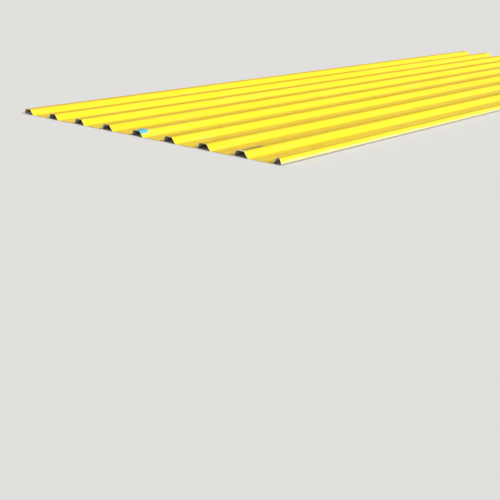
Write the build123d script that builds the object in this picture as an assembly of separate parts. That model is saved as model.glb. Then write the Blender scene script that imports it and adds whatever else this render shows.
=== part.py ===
from build123d import *
import os

# A trapezoidal profiled steel sheet, rolled from one strip. Millimetres.
# X runs along the ribs, Y across them and Z up; the valleys lie on Z = 0.
# The narrow underlap rib is at the -Y edge and the full overlap rib at the +Y edge.

# Strip
LENGTH = 3000.0
THICKNESS = 0.5
BEND_RADIUS = 2.0  # on the inside of every bend

# Ribs, measured on the underside between the sharp corners of the bends
RIB_PITCH = 137.5
RIB_COUNT = 9
RIB_HEIGHT = 18.0
CREST_WIDTH = 25.0
FLANK_RUN = 14.5

# Underlap edge: a narrow crest and a steep leg that stops short of the valleys
UNDERLAP_CREST = 9.0
UNDERLAP_LEG_RUN = 6.5
UNDERLAP_LEG_DROP = 14.5

# Overlap edge: the outer flank stops this far above the valleys, clear of the next sheet
OVERLAP_EDGE_LIFT = 1.5


def rib_corners(centre):
    """The four corners of a full rib, from the -Y foot to the +Y foot."""
    half_crest = CREST_WIDTH / 2
    half_foot = half_crest + FLANK_RUN
    return [
        (centre - half_foot, 0),
        (centre - half_crest, RIB_HEIGHT),
        (centre + half_crest, RIB_HEIGHT),
        (centre + half_foot, 0),
    ]


def underside():
    """Corners of the strip's underside from the underlap edge to the overlap edge."""
    first, *middle, last = [index * RIB_PITCH for index in range(RIB_COUNT)]
    crest, foot = rib_corners(first)[2:]
    crest_end = crest[0] - UNDERLAP_CREST
    corners = [
        (crest_end - UNDERLAP_LEG_RUN, RIB_HEIGHT - UNDERLAP_LEG_DROP),
        (crest_end, RIB_HEIGHT),
        crest,
        foot,
    ]
    for centre in middle:
        corners += rib_corners(centre)
    foot, crest_start, crest_end, _ = rib_corners(last)
    flank_drop = RIB_HEIGHT - OVERLAP_EDGE_LIFT
    flank_run = FLANK_RUN * flank_drop / RIB_HEIGHT
    corners += [foot, crest_start, crest_end, (crest_end[0] + flank_run, OVERLAP_EDGE_LIFT)]
    return corners


def bend_radii(corners):
    """Underside radius of each bend: the inside at a crest, the outside at a valley."""
    return [BEND_RADIUS if z > 0 else BEND_RADIUS + THICKNESS for _, z in corners[1:-1]]


def section():
    """The strip's section, centred on its width."""
    corners = underside()
    lower_face = FilletPolyline(*corners, radius=bend_radii(corners))
    outline = make_face(offset(lower_face, amount=THICKNESS, side=Side.LEFT))
    return Pos(-outline.bounding_box().center().X, 0) * outline


sheet = extrude(Plane.YZ * section(), LENGTH / 2, both=True)
sheet.label = "profiled_sheet"

os.makedirs("parts", exist_ok=True)
export_step(sheet, "parts/profiled_sheet.step")
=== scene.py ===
"""Looks of the profiled sheet: a skin with its colour coat, back coat and cut edges, and the studio."""

import math

import bpy
import numpy as np
from mathutils import Matrix, Vector

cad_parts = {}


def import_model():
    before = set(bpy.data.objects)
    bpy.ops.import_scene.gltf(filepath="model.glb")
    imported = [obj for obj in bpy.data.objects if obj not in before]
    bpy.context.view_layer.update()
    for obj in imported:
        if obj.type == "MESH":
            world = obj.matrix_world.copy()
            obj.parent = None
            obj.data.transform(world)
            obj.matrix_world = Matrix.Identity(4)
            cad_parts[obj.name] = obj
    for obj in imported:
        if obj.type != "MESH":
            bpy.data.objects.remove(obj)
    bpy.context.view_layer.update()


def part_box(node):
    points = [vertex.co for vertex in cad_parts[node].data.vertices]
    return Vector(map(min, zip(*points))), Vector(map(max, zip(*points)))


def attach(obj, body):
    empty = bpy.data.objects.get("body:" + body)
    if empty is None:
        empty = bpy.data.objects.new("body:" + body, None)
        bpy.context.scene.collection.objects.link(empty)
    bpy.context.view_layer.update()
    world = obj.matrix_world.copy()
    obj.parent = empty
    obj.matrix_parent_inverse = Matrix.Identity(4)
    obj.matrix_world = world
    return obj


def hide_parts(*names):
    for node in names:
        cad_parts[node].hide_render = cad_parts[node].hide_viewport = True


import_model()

# Sizes in metres, the same as the part's own
THICKNESS = 0.0005
BEND_RADIUS = 0.002
RIB_PITCH = 0.1375
RIB_COUNT = 9
RIB_HEIGHT = 0.018
CREST_WIDTH = 0.025
FLANK_RUN = 0.0145
UNDERLAP_CREST = 0.009
UNDERLAP_LEG_RUN = 0.0065
UNDERLAP_LEG_DROP = 0.0145
OVERLAP_EDGE_LIFT = 0.0015

HALF_CREST = CREST_WIDTH / 2
HALF_FOOT = HALF_CREST + FLANK_RUN
LOW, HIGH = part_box("profiled_sheet")
END = HIGH.x

# How finely the skin is divided, and the decimals that its columns' places are rounded to
BEND_STEPS = 5
CREST_STEPS = 4
VALLEY_STEPS = 10
FLANK_STEPS = 3
COLUMN_STEP = 0.026
END_STEPS = 4
COLUMN_DIGITS = 6

# How far the thin pans are off flat, always inwards from the sheet's box
VALLEY_BOW = 0.0007
CREST_BOW = 0.00025
FLANK_BOW = 0.00012
EDGE_WAVE = 0.0006
LEG_CURVE = 1.5
END_LENGTH = 0.05
END_BOW = 0.0004

# Wavelengths along the sheet that a bow is summed from, and the seed of the first pan's bow
WAVE_LENGTHS = (0.29, 0.43, 0.71, 1.3)
FIRST_SEED = 40


# Section of the strip


def rib_corners(centre):
    """The four corners of a full rib on the underside, from the -Y foot to the +Y foot."""
    return [
        (centre - HALF_FOOT, 0.0),
        (centre - HALF_CREST, RIB_HEIGHT),
        (centre + HALF_CREST, RIB_HEIGHT),
        (centre + HALF_FOOT, 0.0),
    ]


def section_corners():
    """Corners of the underside with the kind of pan that follows each, from the underlap edge on."""
    first, *middle, last = [index * RIB_PITCH for index in range(RIB_COUNT)]
    crest, foot = rib_corners(first)[2:]
    crest_end = crest[0] - UNDERLAP_CREST
    low_end = (crest_end - UNDERLAP_LEG_RUN, RIB_HEIGHT - UNDERLAP_LEG_DROP)
    corners = [low_end, (crest_end, RIB_HEIGHT), crest, foot]
    pans = ["near_leg", "crest", "flank", "valley"]
    for centre in middle:
        corners += rib_corners(centre)
        pans += ["flank", "crest", "flank", "valley"]
    foot, crest_start, crest_end, _ = rib_corners(last)
    flank_run = FLANK_RUN * (RIB_HEIGHT - OVERLAP_EDGE_LIFT) / RIB_HEIGHT
    corners += [foot, crest_start, crest_end, (crest_end[0] + flank_run, OVERLAP_EDGE_LIFT)]
    pans += ["flank", "crest", "far_leg"]
    return np.array(corners), pans


PAN_STEPS = {
    "near_leg": FLANK_STEPS,
    "far_leg": FLANK_STEPS,
    "flank": FLANK_STEPS,
    "crest": CREST_STEPS,
    "valley": VALLEY_STEPS,
}


class Section:
    """Points across the strip's underside with their normals, pans and places within the pan."""

    def __init__(self):
        self.points, self.normals, self.pan, self.share = [], [], [], []
        corners, self.kinds = section_corners()
        runs = np.diff(corners, axis=0)
        directions = runs / np.linalg.norm(runs, axis=1)[:, None]
        turns = [self.bend(corners[i + 1], directions[i], directions[i + 1]) for i in range(len(runs) - 1)]
        for index, kind in enumerate(self.kinds):
            start = turns[index - 1][0][-1] if index else corners[0]
            stop = turns[index][0][0] if index < len(turns) else corners[-1]
            self.flat(index, start, stop, directions[index], PAN_STEPS[kind])
            if index < len(turns):
                self.arc(index, *turns[index])
        self.points = np.array(self.points)
        self.normals = np.array(self.normals)
        self.pan = np.array(self.pan)
        self.share = np.array(self.share)
        top = self.points + THICKNESS * self.normals
        ends = np.vstack([self.points[[0, -1]], top[[0, -1]]])
        self.shift = (ends[:, 0].min() + ends[:, 0].max()) / 2
        self.points[:, 0] -= self.shift
        steps = np.linalg.norm(np.diff(self.points + THICKNESS / 2 * self.normals, axis=0), axis=1)
        self.along = np.concatenate([[0.0], np.cumsum(steps)])

    @staticmethod
    def bend(corner, before, after):
        """Points and normals of the rounded bend at a corner, from the tangent points."""
        turn = before[0] * after[1] - before[1] * after[0]
        angle = math.asin(turn)
        radius = BEND_RADIUS + (THICKNESS if turn > 0 else 0.0)
        setback = radius * math.tan(abs(angle) / 2)
        start = corner - before * setback
        side = 1.0 if turn > 0 else -1.0
        to_centre = side * np.array([-before[1], before[0]])
        centre = start + radius * to_centre
        points, normals = [], []
        for step in range(BEND_STEPS + 1):
            a = angle * step / BEND_STEPS
            turned = np.array([[math.cos(a), -math.sin(a)], [math.sin(a), math.cos(a)]])
            spoke = turned @ -to_centre
            points.append(centre + radius * spoke)
            normals.append(-side * spoke)
        return points, normals

    def flat(self, index, start, stop, direction, steps):
        """The points of one flat pan; those shared with a bend belong to the bend."""
        first, last = index == 0, index == len(self.kinds) - 1
        normal = np.array([-direction[1], direction[0]])
        for step in range(0 if first else 1, steps + 1 if last else steps):
            share = step / steps
            self.points.append(start + (stop - start) * share)
            self.normals.append(normal)
            self.pan.append(index)
            self.share.append(share)

    def arc(self, index, points, normals):
        """The points of the bend after a pan; they stay where the rolls put them."""
        for point, normal in zip(points, normals):
            self.points.append(point)
            self.normals.append(normal)
            self.pan.append(index)
            self.share.append(1.0)


# Small departures from flat


def ripple(x, seed):
    """A smooth run between 0 and 1 along the sheet, different for each seed."""
    rng = np.random.default_rng(seed)
    total = np.zeros_like(x)
    for length in WAVE_LENGTHS:
        total += math.sqrt(length) * np.sin(2 * math.pi * x / length + rng.uniform(0, 2 * math.pi))
    return 0.5 + 0.5 * total / sum(math.sqrt(length) for length in WAVE_LENGTHS)


def end_share(x):
    """1 at the cut ends, falling to 0 within END_LENGTH of them."""
    depth = np.clip((END - np.abs(x)) / END_LENGTH, 0.0, 1.0)
    return (1 - depth) ** 2


def offsets(section, columns):
    """How far each point of each column stands off its flat place, as (y, z) in metres."""
    moved = np.zeros((len(columns), len(section.points), 2))
    tail = end_share(columns)
    for index, kind in enumerate(section.kinds):
        own = np.flatnonzero(section.pan == index)
        share = section.share[own]
        bulge = np.sin(math.pi * share) ** 2
        wave = ripple(columns, FIRST_SEED + index)
        if kind == "valley":
            lift = VALLEY_BOW * wave + END_BOW * tail
            moved[:, own, 1] += lift[:, None] * bulge
        elif kind == "crest":
            drop = CREST_BOW * wave + END_BOW / 2 * tail
            moved[:, own, 1] -= drop[:, None] * bulge
        elif kind == "flank":
            push = FLANK_BOW * (2 * wave - 1)
            moved[:, own] += push[:, None, None] * bulge[:, None] * section.normals[own]
        elif kind == "near_leg":
            moved[:, own, 0] += EDGE_WAVE * wave[:, None] * (1 - share) ** LEG_CURVE
        else:
            moved[:, own, 0] -= EDGE_WAVE * wave[:, None] * share ** LEG_CURVE
    return moved


# The skin's mesh

COAT, BACK, EDGE = range(3)
QUAD_CORNERS = 4

# Shares of the map that the looks are baked through, and the lengths at the cut ends that get more of it
MAP_NAME = "OFBake"
MAP_GAP = 0.006
TOP_SHARE = 0.62
UNDER_SHARE = 0.28
STRIP_FILL = 0.6
MARKED_LENGTH = 0.13
MARKED_SHARE = 0.20
FAR_LENGTH = 0.0125
FAR_SHARE = 0.018


def grid_faces(rows, cols, first, flip):
    """Quads of a grid of rows by cols points that starts at vertex first."""
    r, c = np.meshgrid(np.arange(rows - 1), np.arange(cols - 1), indexing="ij")
    a = first + r * cols + c
    quads = np.stack([a, a + 1, a + cols + 1, a + cols], -1).reshape(-1, QUAD_CORNERS)
    return quads[:, ::-1] if flip else quads


def rim_faces(upper, onwards, under_first, flip):
    """Quads from one rim of the top down to the underside, each from an upper vertex to the next one."""
    quads = np.stack([upper, upper + under_first, upper + under_first + onwards, upper + onwards], -1)
    return quads[:, ::-1] if flip else quads


def column_places():
    """Places of the section's copies along the sheet, to a micrometre, closer together at the cut ends."""
    even = np.linspace(-END, END, round(2 * END / COLUMN_STEP) + 1)
    close = END_LENGTH / END_STEPS * np.arange(1, END_STEPS)
    return np.unique(np.round(np.concatenate([even, close - END, END - close]), COLUMN_DIGITS))


def skin_mesh(section):
    """The closed skin: top, underside, the two cut ends and the two slit edges."""
    columns = column_places()
    under = section.points[None] + offsets(section, columns)
    top = under + THICKNESS * section.normals[None]
    rows, cols = len(columns), len(section.points)
    x = np.repeat(columns, cols)
    vertices = np.vstack([np.column_stack([x, side.reshape(-1, 2)]) for side in (top, under)])

    below = rows * cols
    across, lengthways = np.arange(cols - 1), np.arange(rows - 1) * cols
    sides = [
        (COAT, grid_faces(rows, cols, 0, True)),
        (BACK, grid_faces(rows, cols, below, False)),
        (EDGE, rim_faces(across, 1, below, True)),
        (EDGE, rim_faces((rows - 1) * cols + across, 1, below, False)),
        (EDGE, rim_faces(lengthways, cols, below, False)),
        (EDGE, rim_faces(lengthways + cols - 1, cols, below, True)),
    ]
    faces = np.vstack([quads for _, quads in sides])
    slots = np.concatenate([np.full(len(quads), slot) for slot, quads in sides])

    mesh = bpy.data.meshes.new("profiled_sheet_skin")
    mesh.from_pydata(vertices.tolist(), [], faces.tolist())
    mesh.polygons.foreach_set("material_index", slots.astype(np.int32))
    mesh.polygons.foreach_set("use_smooth", slots != EDGE)
    mesh.update()
    lay_out(mesh, section, columns, faces, slots)
    sharpen(mesh, slots)
    return mesh


def lay_out(mesh, section, columns, faces, slots):
    """One map with no overlaps: the developed top and underside, then the edges as strips.

    The marked cut end and the last centimetre of the other one get more of the map's length.
    """
    rows, cols = len(columns), len(section.points)
    knots = [0.0, MARKED_LENGTH, 2 * END - FAR_LENGTH, 2 * END]
    places = [MAP_GAP, MAP_GAP + MARKED_SHARE, 1 - MAP_GAP - FAR_SHARE, 1 - MAP_GAP]
    lengthways = np.interp(columns + END, knots, places)
    across = section.along / section.along[-1]
    index = faces.reshape(-1)
    below = index >= rows * cols
    row, col = np.divmod(index - below * rows * cols, cols)
    u = lengthways[row]
    v_top = TOP_SHARE * across[col]
    v_under = TOP_SHARE + MAP_GAP + UNDER_SHARE * across[col]
    v = MAP_GAP + np.where(below, v_under, v_top)

    ends, slits = np.split(np.flatnonzero(slots == EDGE), [2 * (cols - 1)])
    cut_ends, slit_edges = np.split(ends, 2), np.split(slits, 2)
    strips = cut_ends + slit_edges
    strips_start = TOP_SHARE + UNDER_SHARE + 3 * MAP_GAP
    strip_step = (1 - MAP_GAP - strips_start) / len(strips)
    for number, strip in enumerate(strips):
        corners = (strip[:, None] * QUAD_CORNERS + np.arange(QUAD_CORNERS)).reshape(-1)
        if number < len(cut_ends):
            u[corners] = MAP_GAP + (1 - 2 * MAP_GAP) * across[col[corners]]
        v[corners] = strips_start + (number + STRIP_FILL * below[corners]) * strip_step
    layer = mesh.uv_layers.new(name=MAP_NAME)
    layer.data.foreach_set("uv", np.column_stack([u, v]).astype(np.float32).ravel())


def sharpen(mesh, slots):
    """The rims between the coats and the cut metal are sharp."""
    edge_slots = {}
    for polygon, slot in zip(mesh.polygons, slots):
        for key in polygon.edge_keys:
            edge_slots.setdefault(key, set()).add(int(slot))
    sharp = [len(edge_slots[edge.key]) > 1 for edge in mesh.edges]
    attribute = mesh.attributes.new("sharp_edge", "BOOLEAN", "EDGE")
    attribute.data.foreach_set("value", sharp)


# Calls for building materials


class Nodes:
    """A few short calls for building a material's nodes."""

    def __init__(self, name):
        self.material = bpy.data.materials.new(name)
        self.material.use_nodes = True
        self.tree = self.material.node_tree
        self.shader = self.tree.nodes["Principled BSDF"]

    def new(self, kind, **settings):
        node = self.tree.nodes.new(kind)
        for key, value in settings.items():
            setattr(node, key, value)
        return node

    def link(self, source, socket):
        """Feeds a socket from another one, or sets it to a number or a colour."""
        if isinstance(source, (int, float, tuple)):
            socket.default_value = source
        else:
            self.tree.links.new(source, socket)

    def math(self, operation, a, b=0.0, clamp=False):
        node = self.new("ShaderNodeMath", operation=operation, use_clamp=clamp)
        self.link(a, node.inputs[0])
        self.link(b, node.inputs[1])
        return node.outputs[0]

    def product(self, *factors):
        result = factors[0]
        for factor in factors[1:]:
            result = self.math("MULTIPLY", result, factor)
        return result

    def total(self, *terms):
        result = terms[0]
        for term in terms[1:]:
            result = self.math("ADD", result, term)
        return result

    def place(self):
        """The point in the sheet's frame, in metres: the vector and its x, y and z."""
        vector = self.new("ShaderNodeTexCoord").outputs["Object"]
        split = self.new("ShaderNodeSeparateXYZ")
        self.link(vector, split.inputs[0])
        return vector, split.outputs[0], split.outputs[1], split.outputs[2]

    def noise(self, vector, scale, detail=2.0, roughness=0.5):
        node = self.new("ShaderNodeTexNoise")
        self.link(vector, node.inputs["Vector"])
        node.inputs["Scale"].default_value = scale
        node.inputs["Detail"].default_value = detail
        node.inputs["Roughness"].default_value = roughness
        return node.outputs["Fac"]

    def grain(self, vector, fineness, detail=2.0, roughness=0.5):
        """A noise drawn out along the sheet, with its own fineness along x, y and z."""
        node = self.new("ShaderNodeMapping")
        self.link(vector, node.inputs["Vector"])
        node.inputs["Scale"].default_value = fineness
        return self.noise(node.outputs[0], 1.0, detail, roughness)

    def wander(self, noise, width):
        """A noise as a length that swings to either side of 0, within the width."""
        return self.product(self.math("SUBTRACT", noise, 0.5), width)

    def ramp(self, value, low, high, out_low=0.0, out_high=1.0, smooth=True):
        """out_low up to low and out_high from high on."""
        node = self.new("ShaderNodeMapRange")
        node.interpolation_type = "SMOOTHSTEP" if smooth else "LINEAR"
        self.link(value, node.inputs["Value"])
        numbers = {"From Min": low, "From Max": high, "To Min": out_low, "To Max": out_high}
        for key, number in numbers.items():
            node.inputs[key].default_value = number
        return node.outputs[0]

    def fall(self, value, low, high):
        """1 up to low and 0 from high on."""
        return self.ramp(value, low, high, 1.0, 0.0)

    def inside(self, value, low, high, soft):
        """1 between low and high, with soft borders."""
        above = self.ramp(value, low - soft, low + soft)
        return self.product(above, self.fall(value, high - soft, high + soft))

    def mix(self, share, a, b):
        node = self.new("ShaderNodeMix", data_type="RGBA")
        self.link(share, node.inputs["Factor"])
        self.link(a, node.inputs["A"])
        self.link(b, node.inputs["B"])
        return node.outputs["Result"]

    def layered(self, color, *layers):
        """The colour under layers of (share, colour), each over the ones before."""
        for share, over in layers:
            color = self.mix(share, color, over)
        return color

    def bump(self, height, distance, strength, normal=None):
        node = self.new("ShaderNodeBump")
        node.inputs["Strength"].default_value = strength
        node.inputs["Distance"].default_value = distance
        self.link(height, node.inputs["Height"])
        if normal is not None:
            self.link(normal, node.inputs["Normal"])
        return node.outputs[0]

    def finish(self, color, roughness, normal, metallic=0.0):
        self.link(color, self.shader.inputs["Base Color"])
        self.link(roughness, self.shader.inputs["Roughness"])
        self.link(normal, self.shader.inputs["Normal"])
        self.shader.inputs["Metallic"].default_value = metallic
        return self.material


def rib_centre(section, index):
    return index * RIB_PITCH - section.shift


def rib_distance(n, section, y):
    """How far across the strip a point is from the nearest rib's centre line."""
    return n.math("PINGPONG", n.math("SUBTRACT", y, rib_centre(section, 0)), RIB_PITCH / 2)


# Wear all over the colour coat, with partly painted shade on the crests and painted bounce light beside
# the rib feet. Fineness is along x, y and z, and levels are heights above the floor.

VALLEY_LEVELS = (0.0007, 0.006)
CREST_LEVELS = (0.0165, 0.0181)

SLIDE_LINES = (1.3, 210.0, 110.0)
SLIDE_PLACES = (1.1, 4.0, 4.0)


def slide_mask(n, vector, low):
    """Fine lines along the sheet from sliding over other sheets, a little fainter in the valleys."""
    lines = n.ramp(n.grain(vector, SLIDE_LINES, 4.0, 0.62), 0.47, 0.68)
    places = n.ramp(n.grain(vector, SLIDE_PLACES), 0.35, 0.7, 0.25, 1.0)
    return n.product(lines, places, n.ramp(low, 0.0, 1.0, 0.55, 0.42))


# The tracks' borders across from a rib's centre line, the levels they show at and how soft they are
TRACK_ON_CREST = (0.0078, 0.0100)
TRACK_IN_VALLEY = (0.0300, 0.0328)
TRACK_CREST_LEVELS = (0.016, 0.018)
TRACK_VALLEY_LEVELS = (0.001, 0.004)
TRACK_CREST_SOFT = 0.0007
TRACK_VALLEY_SOFT = 0.0009
TRACK_WEAR = (2.5, 40.0, 40.0)


def roller_tracks(n, vector, from_rib, z):
    """The slightly dulled lines that the forming rolls leave beside every bend, along the whole sheet."""
    beside_crest = n.inside(from_rib, *TRACK_ON_CREST, TRACK_CREST_SOFT)
    beside_foot = n.inside(from_rib, *TRACK_IN_VALLEY, TRACK_VALLEY_SOFT)
    on_crest = n.product(beside_crest, n.ramp(z, *TRACK_CREST_LEVELS))
    in_valley = n.product(beside_foot, n.fall(z, *TRACK_VALLEY_LEVELS))
    uneven = n.ramp(n.grain(vector, TRACK_WEAR, 3.0), 0.35, 0.65, 0.25, 1.0)
    return n.product(n.math("ADD", on_crest, n.product(in_valley, 0.3), clamp=True), uneven)


# The length that the dust thins over, and how far from a rib's foot it begins and is full; the lighter
# strip it leaves beside each foot is painted bounce light from the flank
DUST_FADE_LENGTH = 0.5
DUST_AND_BOUNCE_FROM_FOOT = (0.006, 0.032)
DUST_RUNS = (1.6, 60.0, 20.0)


def dust_and_bounce_mask(n, vector, from_end, from_rib, low):
    """Dust in patches and long runs along the valleys' middles, thicker near the visible cut end; kept off
    the strips beside the rib feet, which paints light bounced there from the lit flanks.
    """
    patches = n.ramp(n.noise(vector, 13.0, 6.0, 0.66), 0.43, 0.66)
    runs = n.ramp(n.grain(vector, DUST_RUNS, 3.0), 0.45, 0.75)
    settled = n.total(n.product(patches, 0.42), n.product(runs, 0.28))
    near_end = n.ramp(from_end, 0.0, DUST_FADE_LENGTH, 1.0, 0.35)
    # Strips beside the feet stay lighter: painted light bounced off the flanks, with less dust there.
    plain, dust_full_at = (HALF_FOOT + distance for distance in DUST_AND_BOUNCE_FROM_FOOT)
    middle = n.ramp(from_rib, plain, dust_full_at, 0.1, 1.0)
    return n.product(low, middle, near_end, settled)


# Every crest is darkened all along, partly as handling scuffs and partly as painted shade.
SCUFF_AND_SHADE_PLACES = (1.8, 26.0, 26.0)
RUB_LINES = (5.0, 900.0, 300.0)
RUB_PLACES = (2.0, 14.0, 14.0)


def crest_wear_and_shade(n, vector, high):
    """The scuffs that cover the crests, partly painted shade that darkens every crest, and the fine pale
    rubs on some of them.
    """
    # The whole crest gets this darkening: partly handling scuffs, partly painted shade.
    scuffs_and_shade = n.product(high, n.ramp(n.grain(vector, SCUFF_AND_SHADE_PLACES, 4.0), 0.3, 0.7, 0.7, 1.0))
    lines = n.ramp(n.grain(vector, RUB_LINES), 0.57, 0.65)
    places = n.ramp(n.grain(vector, RUB_PLACES), 0.48, 0.66)
    return scuffs_and_shade, n.product(high, lines, places)


SCRATCH_LINES = (3.5, 640.0, 320.0)
SCRATCH_PLACES = (1.7, 11.0, 11.0)


def scratch_mask(n, vector):
    """Faint scratches along the sheet, in places."""
    lines = n.ramp(n.grain(vector, SCRATCH_LINES), 0.60, 0.65)
    places = n.ramp(n.grain(vector, SCRATCH_PLACES), 0.46, 0.62)
    return n.product(lines, places)


# Cells per metre, the dot's radius in shares of a cell, and the random number from which a cell has one
GRIT_CELLS = 85.0
GRIT_SIZE = (0.05, 0.10)
GRIT_CHOSEN = (0.90, 0.91)


def speck_mask(n, vector, low):
    """Specks of grit, a dot in one of ten cells, fainter outside the valleys."""
    cells = n.new("ShaderNodeTexVoronoi")
    n.link(vector, cells.inputs["Vector"])
    cells.inputs["Scale"].default_value = GRIT_CELLS
    chance = n.new("ShaderNodeSeparateColor")
    n.link(cells.outputs["Color"], chance.inputs[0])
    dot = n.fall(cells.outputs["Distance"], *GRIT_SIZE)
    return n.product(dot, n.ramp(chance.outputs[0], *GRIT_CHOSEN), n.ramp(low, 0.0, 1.0, 0.25, 1.0))


# Marks in one place each, from the visible cut end (-X) and with the ribs counted from the underlap edge

# The height up the outer legs that stays unpainted, and how far the legs reach in from the slit edges
BARE_NEAR = 0.0062
BARE_NEAR_SHARES = (0.7, 1.25)
BARE_NEAR_SOFT = (-0.0028, 0.0022)
BARE_NEAR_REACH = (0.010, 0.0105)
BARE_FAR = 0.0028
BARE_FAR_SOFT = 0.001
BARE_FAR_REACH = (0.009, 0.0085)
PAINT_EDGE = (14.0, 60.0, 60.0)


def level_on_leg(height):
    """The level that is this far above the underlap leg's slit edge."""
    return RIB_HEIGHT - UNDERLAP_LEG_DROP + height


def bare_mask(n, vector, y, z):
    """Where the paint stops short of the strip's slit edges and the pale primer shows."""
    ragged = n.grain(vector, PAINT_EDGE, 4.0)
    near_top = n.ramp(ragged, 0.3, 0.7, *(level_on_leg(BARE_NEAR * share) for share in BARE_NEAR_SHARES))
    near_low = n.fall(n.math("SUBTRACT", z, near_top), *BARE_NEAR_SOFT)
    near = n.product(near_low, n.fall(y, *(LOW.y + reach for reach in BARE_NEAR_REACH)))
    far_top = OVERLAP_EDGE_LIFT + BARE_FAR
    far_low = n.fall(z, far_top - BARE_FAR_SOFT, far_top + BARE_FAR_SOFT)
    far = n.product(far_low, n.ramp(y, *(HIGH.y - reach for reach in BARE_FAR_REACH)))
    return n.product(n.math("ADD", near, far, clamp=True), 0.8)


# Lengths from the cut end, levels, places across from the crest's near corner, and soft borders
FILM_RIB = 4
FILM_LENGTH = 0.036
FILM_LOW = 0.0088
FILM_OVER_CREST = 0.011
FILM_TEAR = 0.014
FILM_TORN = (-0.0044, -0.0036)
FILM_SLANT = 0.8
FILM_TAPER = 0.6
FILM_SOFT_LOW = 0.0006
FILM_SOFT_FAR = 0.0004
FILM_SOFT_NEAR = 0.001
FILM_THICKER = (-0.003, 0.008)
FILM_THICK_ABOVE = 0.0042
FILM_WRAP = 0.011
FILM_WRAP_ACROSS = (-0.0065, 0.012)
FILM_WRAP_SOFT = 0.002
FILM_WRAP_EDGE = 0.0015


def film_mask(n, section, vector, from_end, y, z):
    """A scrap of blue film over a middle rib's crest and upper near flank, and how thick it is."""
    crest_corner = rib_centre(section, FILM_RIB) - HALF_CREST
    ragged = n.wander(n.noise(vector, 190.0, 3.0), FILM_TEAR)
    slant = n.total(from_end, n.product(n.math("SUBTRACT", RIB_HEIGHT, z), FILM_SLANT))
    left = n.math("SUBTRACT", FILM_LENGTH, n.total(slant, ragged))
    torn = n.ramp(left, *FILM_TORN)
    level = n.total(z, n.product(ragged, 0.22))
    above = n.ramp(level, FILM_LOW, FILM_LOW + FILM_SOFT_LOW)
    narrowed = n.math("SUBTRACT", y, n.product(n.total(from_end, ragged), FILM_TAPER))
    far_side = crest_corner + FILM_OVER_CREST
    near_side = crest_corner - FLANK_RUN
    across = n.product(
        n.fall(narrowed, far_side - FILM_SOFT_FAR, far_side + FILM_SOFT_FAR),
        n.ramp(y, near_side - FILM_SOFT_NEAR, near_side),
    )
    thick = n.product(n.ramp(left, *FILM_THICKER), n.ramp(level, FILM_LOW, FILM_LOW + FILM_THICK_ABOVE))
    cloudy = n.ramp(n.noise(vector, 120.0), 0.35, 0.65, 0.85, 1.0)
    return n.product(torn, above, across), n.product(thick, cloudy)


def film_wrap(n, section, x, y, z):
    """Where the same scrap of film is folded round the cut end and under the crest."""
    crest_corner = rib_centre(section, FILM_RIB) - HALF_CREST
    near_end = n.fall(n.math("ADD", x, END), FILM_WRAP - FILM_WRAP_SOFT, FILM_WRAP + FILM_WRAP_SOFT)
    low, high = (crest_corner + place for place in FILM_WRAP_ACROSS)
    across = n.inside(y, low, high, FILM_WRAP_EDGE)
    return n.product(near_end, across, n.ramp(z, FILM_LOW, FILM_LOW + FILM_WRAP_SOFT))


# The same for the grey rub, with the fineness of its fibres and of its uneven edges
STREAK_RIB = 1
STREAK_LENGTH = 0.098
STREAK_FADE = (-0.012, 0.003)
STREAK_PALE_FADE = (0.003, 0.018)
STREAK_ACROSS = (0.0015, 0.0215)
STREAK_SOFT = 0.0022
STREAK_LEVELS = (0.0172, 0.0178)
STREAK_FRAY = 0.034
STREAK_DRIFT = 0.007
STREAK_FIBRES = (13.0, 520.0, 200.0)
STREAK_EDGES = (26.0, 60.0, 60.0)


def streak_mask(n, section, vector, from_end, y, z):
    """A grey rub along one crest from the cut end, and the share of it that is paler, at its start."""
    near_corner = rib_centre(section, STREAK_RIB) - HALF_CREST
    fibres = n.grain(vector, STREAK_FIBRES, 3.0)
    drift = n.wander(n.grain(vector, STREAK_EDGES, 3.0), STREAK_DRIFT)
    ragged = n.wander(fibres, STREAK_FRAY)
    fade = n.fall(n.total(from_end, ragged), *(STREAK_LENGTH + past for past in STREAK_FADE))
    low, high = (near_corner + place for place in STREAK_ACROSS)
    across = n.inside(n.total(y, drift), low, high, STREAK_SOFT)
    on_crest = n.ramp(z, *STREAK_LEVELS)
    cover = n.ramp(fibres, 0.32, 0.56, 0.55, 0.95)
    pale = n.fall(n.total(from_end, n.product(ragged, 0.4)), *STREAK_PALE_FADE)
    return n.product(fade, across, on_crest, cover), pale


# The band's width is the sum of a coarse and a fine noise between these
CHIP_COARSE = (0.0002, 0.0014)
CHIP_FINE = (0.0, 0.0009)
CHIP_EDGE = (-0.0001, 0.0002)


def chip_mask(n, vector, x):
    """Paint that the shear chipped off along both cut ends, in an uneven band about a millimetre wide."""
    from_cut = n.math("SUBTRACT", END, n.math("ABSOLUTE", x))
    coarse = n.ramp(n.noise(vector, 60.0), 0.35, 0.7, *CHIP_COARSE)
    fine = n.ramp(n.noise(vector, 420.0, 3.0), 0.4, 0.7, *CHIP_FINE)
    return n.fall(n.math("SUBTRACT", from_cut, n.total(coarse, fine)), *CHIP_EDGE)


# Materials

YELLOW = (0.93, 0.71, 0.030, 1)
YELLOW_DEEP = (0.92, 0.65, 0.026, 1)
YELLOW_RUBBED = (0.94, 0.77, 0.27, 1)
SLID = (0.88, 0.56, 0.030, 1)
ROLLER = (0.86, 0.55, 0.028, 1)
# Darker amber of the crests: partly handling scuffs, partly painted shade.
SCUFFED_AND_SHADED = (0.76, 0.495, 0.020, 1)
DUST = (0.77, 0.43, 0.075, 1)
SPECK = (0.16, 0.11, 0.06, 1)
FILM_BLUE = (0.085, 0.50, 0.66, 1)
FILM_PALE = (0.56, 0.68, 0.40, 1)
STREAK_GREY = (0.42, 0.345, 0.085, 1)
STREAK_PALE = (0.74, 0.74, 0.52, 1)
PRIMER = (0.64, 0.60, 0.36, 1)
CHIPPED = (0.62, 0.57, 0.47, 1)

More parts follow.
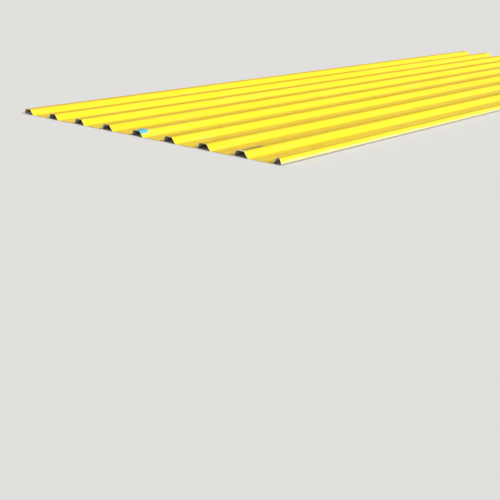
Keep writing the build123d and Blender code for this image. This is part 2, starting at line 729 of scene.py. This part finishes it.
LONG_TONE = (0.7, 5.0, 5.0)
COAT_ROUGHNESS = (0.43, 0.51)
COAT_SPECULAR = 0.16
PEEL_DEPTH = 0.0003
RELIEF_DEPTH = 0.0002


def colour_coat(section):
    """The yellow coil coat: soft gloss, dusty valleys left lighter beside the rib feet as painted bounce
    light, crests scuffed and partly darkened as painted shade, and the marks at the cut end.
    """
    n = Nodes("yellow_coil_coat")
    vector, x, y, z = n.place()
    from_end = n.math("ADD", x, END)
    from_rib = rib_distance(n, section, y)
    low = n.fall(z, *VALLEY_LEVELS)
    high = n.ramp(z, *CREST_LEVELS)

    slides = slide_mask(n, vector, low)
    tracks = roller_tracks(n, vector, from_rib, z)
    dust_and_bounce = dust_and_bounce_mask(n, vector, from_end, from_rib, low)
    haze = n.product(n.ramp(n.noise(vector, 3.2, 4.0), 0.4, 0.75), 0.05)
    scuffs_and_shade, rubs = crest_wear_and_shade(n, vector, high)
    scratches = scratch_mask(n, vector)
    specks = speck_mask(n, vector, low)
    streak, pale = streak_mask(n, section, vector, from_end, y, z)
    bare = bare_mask(n, vector, y, z)
    film, thick = film_mask(n, section, vector, from_end, y, z)
    film_seen = n.product(film, n.ramp(thick, 0.0, 0.7, 0.32, 1.0, smooth=False))
    chips = chip_mask(n, vector, x)

    tone = n.ramp(n.grain(vector, LONG_TONE, 3.0), 0.35, 0.7, 0.0, 0.8)
    color = n.layered(
        n.mix(tone, YELLOW, YELLOW_DEEP),
        (slides, SLID),
        (n.product(tracks, 0.25), ROLLER),
        # Dust in the valleys' middles; the lighter strips it leaves beside the feet are painted bounce
        # light.
        (n.math("ADD", dust_and_bounce, haze, clamp=True), DUST),
        # Crests darkened, partly scuffs and partly painted shade.
        (n.product(scuffs_and_shade, 0.75), SCUFFED_AND_SHADED),
        (n.product(rubs, 0.75), YELLOW_RUBBED),
        (n.product(scratches, 0.45), YELLOW_RUBBED),
        (n.product(specks, 0.5), SPECK),
        (streak, n.mix(pale, STREAK_GREY, STREAK_PALE)),
        (bare, PRIMER),
        (film_seen, n.mix(thick, FILM_PALE, FILM_BLUE)),
        (n.product(chips, 0.85), CHIPPED),
    )

    duller = n.total(
        n.product(dust_and_bounce, 0.6),
        n.product(rubs, 0.2),
        n.product(n.total(tracks, slides), 0.1),
        n.product(bare, 0.2),
        n.product(streak, 0.15),
        n.product(scuffs_and_shade, 0.28),
    )
    plain = n.ramp(n.noise(vector, 26.0, 3.0), 0.3, 0.7, *COAT_ROUGHNESS)
    roughness = n.math("ADD", plain, duller, clamp=True)

    creases = n.total(n.product(n.noise(vector, 230.0, 2.0, 0.7), 2.4), 0.8)
    relief = n.total(
        n.product(n.total(rubs, scratches), -0.4),
        specks,
        n.product(film, creases),
        n.product(chips, -0.6),
    )
    peel = n.bump(n.noise(vector, 420.0), PEEL_DEPTH, 0.10)
    normal = n.bump(relief, RELIEF_DEPTH, 0.5, peel)
    n.shader.inputs["Specular IOR Level"].default_value = COAT_SPECULAR
    return n.finish(color, roughness, normal)


BACK_GREY = (0.49, 0.43, 0.32, 1)
BACK_DARK = (0.40, 0.35, 0.26, 1)
BACK_LINES = (1.2, 260.0, 120.0)
BACK_CLOUDS = (4.0, 12.0, 12.0)
BACK_ROUGHNESS = (0.46, 0.58)
BACK_DEPTH = 0.0002


def back_coat(section):
    """The thin grey-beige primer under the sheet, with faint roller lines along the ribs."""
    n = Nodes("beige_back_coat")
    vector, x, y, z = n.place()
    lines = n.ramp(n.grain(vector, BACK_LINES, 3.0), 0.35, 0.7, 0.0, 0.5)
    clouds = n.grain(vector, BACK_CLOUDS, 4.0)
    share = n.math("ADD", lines, n.ramp(clouds, 0.4, 0.7, 0.0, 0.4), clamp=True)
    color = n.mix(share, BACK_GREY, BACK_DARK)
    color = n.mix(film_wrap(n, section, x, y, z), color, FILM_BLUE)
    roughness = n.ramp(clouds, 0.3, 0.7, *BACK_ROUGHNESS)
    normal = n.bump(n.noise(vector, 520.0), BACK_DEPTH, 0.12)
    return n.finish(color, roughness, normal)


ZINC = (0.58, 0.58, 0.57, 1)
ZINC_DULL = (0.38, 0.37, 0.35, 1)
SHEAR_LINES = (900.0, 900.0, 60.0)
ZINC_ROUGHNESS = (0.32, 0.5)
SHEAR_DEPTH = 0.0001


def cut_metal(section):
    """Bare galvanised steel where the strip was slit and cut, with fine shear marks across it."""
    n = Nodes("cut_zinc_edge")
    vector, x, y, z = n.place()
    shear = n.grain(vector, SHEAR_LINES)
    dull = n.ramp(n.noise(vector, 35.0, 3.0), 0.4, 0.7)
    color = n.mix(dull, ZINC, ZINC_DULL)
    color = n.mix(film_wrap(n, section, x, y, z), color, FILM_BLUE)
    roughness = n.ramp(shear, 0.3, 0.7, *ZINC_ROUGHNESS)
    normal = n.bump(shear, SHEAR_DEPTH, 0.4)
    return n.finish(color, roughness, normal, metallic=1.0)


# The piece


def make_sheet():
    section = Section()
    mesh = skin_mesh(section)
    sheet = bpy.data.objects.new("profiled_sheet_skin", mesh)
    bpy.context.scene.collection.objects.link(sheet)
    for material in (colour_coat(section), back_coat(section), cut_metal(section)):
        mesh.materials.append(material)
    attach(sheet, "root")
    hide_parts("profiled_sheet")
    return sheet


# Studio

FLOOR_HALF = 60.0
FLOOR_COLOR = (0.89, 0.88, 0.86, 1)
WORLD_COLOR = (0.84, 0.83, 0.81, 1)
WORLD_LIGHT = 0.18
BACKDROP_LEVEL = 0.895

# Lamps as (name, strength, spread, degrees from -Y towards +X, degrees up)
LAMPS = [
    ("key", 3.8, 12.0, -8.0, 27.5),
    ("fill", 0.5, 50.0, 165.0, 42.0),
]

# The photograph's camera, found from the ribs' corners
CAMERA_PLACE = (-3.0865, -1.8807, 0.4705)
CAMERA_AZIMUTH = 41.82  # degrees from +X towards +Y, the way it looks
CAMERA_DROP = 18.62
CAMERA_ROLL = 0.47
SENSOR = 36.0
FOCAL_SHARE = 1.673  # focal length over the frame's width
CLIP_END = 200.0


def heading(azimuth, elevation):
    """The direction at these degrees from +X towards +Y and up from level."""
    a, e = math.radians(azimuth), math.radians(elevation)
    return Vector((math.cos(e) * math.cos(a), math.cos(e) * math.sin(a), math.sin(e)))


def floor():
    mesh = bpy.data.meshes.new("studio_floor")
    h = FLOOR_HALF
    mesh.from_pydata([(-h, -h, 0), (h, -h, 0), (h, h, 0), (-h, h, 0)], [], [(0, 1, 2, 3)])
    plane = bpy.data.objects.new("studio_floor", mesh)
    bpy.context.scene.collection.objects.link(plane)
    material = bpy.data.materials.new("pale_floor")
    material.use_nodes = True
    shader = material.node_tree.nodes["Principled BSDF"]
    shader.inputs["Base Color"].default_value = FLOOR_COLOR
    shader.inputs["Roughness"].default_value = 1.0
    shader.inputs["Specular IOR Level"].default_value = 0.0
    mesh.materials.append(material)


def world():
    """Even light from all round; the camera and reflections see the pale backdrop instead."""
    made = bpy.data.worlds.new("studio")
    bpy.context.scene.world = made
    made.use_nodes = True
    tree = made.node_tree
    background = tree.nodes["Background"]
    background.inputs["Color"].default_value = (1, 1, 1, 1)
    background.inputs["Strength"].default_value = WORLD_LIGHT
    backdrop = tree.nodes.new("ShaderNodeBackground")
    backdrop.inputs["Color"].default_value = WORLD_COLOR
    backdrop.inputs["Strength"].default_value = BACKDROP_LEVEL
    rays = tree.nodes.new("ShaderNodeLightPath")
    sees = rays.outputs["Is Camera Ray"]
    for kind in ("Is Glossy Ray", "Is Transmission Ray"):
        either = tree.nodes.new("ShaderNodeMath")
        either.operation = "MAXIMUM"
        tree.links.new(sees, either.inputs[0])
        tree.links.new(rays.outputs[kind], either.inputs[1])
        sees = either.outputs[0]
    mix = tree.nodes.new("ShaderNodeMixShader")
    tree.links.new(sees, mix.inputs[0])
    tree.links.new(background.outputs[0], mix.inputs[1])
    tree.links.new(backdrop.outputs[0], mix.inputs[2])
    tree.links.new(mix.outputs[0], tree.nodes["World Output"].inputs["Surface"])


def lamps():
    """A wide key lamp, low on the side of the underlap edge, and a weak fill from behind."""
    for name, strength, spread, turn, height in LAMPS:
        lamp = bpy.data.lights.new(name, "SUN")
        lamp.energy = strength
        lamp.angle = math.radians(spread)
        holder = bpy.data.objects.new(name, lamp)
        towards = heading(turn - 90.0, height)
        holder.rotation_euler = towards.to_track_quat("Z", "Y").to_euler()
        bpy.context.scene.collection.objects.link(holder)


def camera():
    data = bpy.data.cameras.new("photo_view")
    data.sensor_width = SENSOR
    data.lens = SENSOR * FOCAL_SHARE
    data.clip_end = CLIP_END
    holder = bpy.data.objects.new("photo_view", data)
    roll = math.radians(CAMERA_ROLL)
    ahead = heading(CAMERA_AZIMUTH, -CAMERA_DROP)
    right = ahead.cross(Vector((0, 0, 1))).normalized()
    up = right.cross(ahead)
    turned_right = math.cos(roll) * right + math.sin(roll) * up
    turned_up = math.cos(roll) * up - math.sin(roll) * right
    axes = Matrix((turned_right, turned_up, -ahead)).transposed()
    holder.matrix_world = Matrix.Translation(CAMERA_PLACE) @ axes.to_4x4()
    bpy.context.scene.collection.objects.link(holder)
    bpy.context.scene.camera = holder


make_sheet()
floor()
world()
lamps()
camera()
bpy.context.scene.view_settings.view_transform = "Standard"
